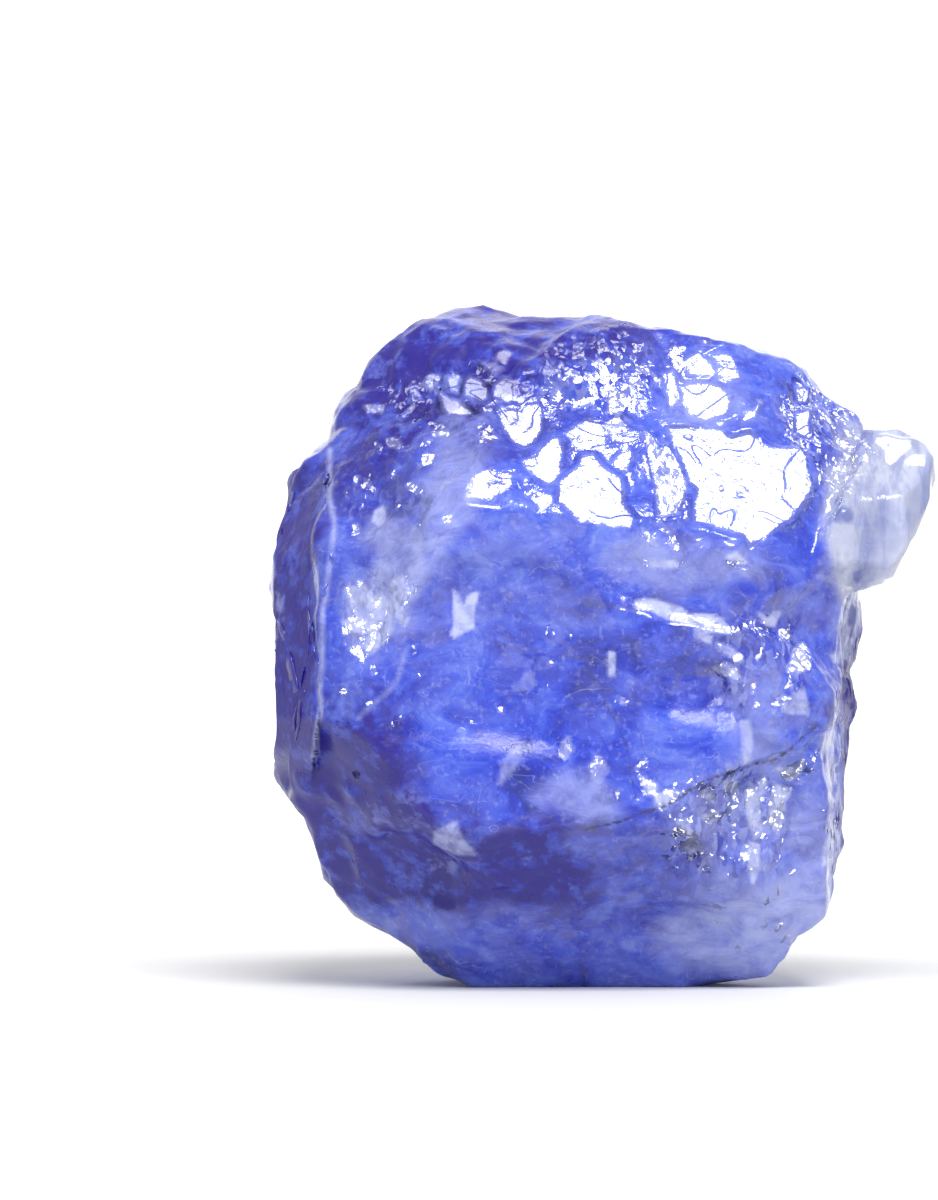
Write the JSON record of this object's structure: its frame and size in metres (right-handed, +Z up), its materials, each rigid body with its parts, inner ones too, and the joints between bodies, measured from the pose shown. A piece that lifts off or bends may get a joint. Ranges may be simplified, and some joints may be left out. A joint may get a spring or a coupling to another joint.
{
  "type": "rough sapphire",
  "caption": "Uncut translucent blue sapphire crystal, blocky and broken-faced, with a stepped left edge and a colourless tip at its upper right corner.",
  "frame": {"origin": "middle of the bounding box's underside, in the plane of the small flat spot that the stone rests on", "axes": "+Z up as the stone stands on its flat spot, -Y out of the broad face that shows best, +X to that face's right, where the colourless tip is"},
  "size_m": [0.0186, 0.0132, 0.0191],
  "materials": {
    "sapphire": "broken crystal, glossy with frosted patches"
  },
  "bodies": {
    "root": {"rough_sapphire": "sapphire"}
  },
  "joints": []
}
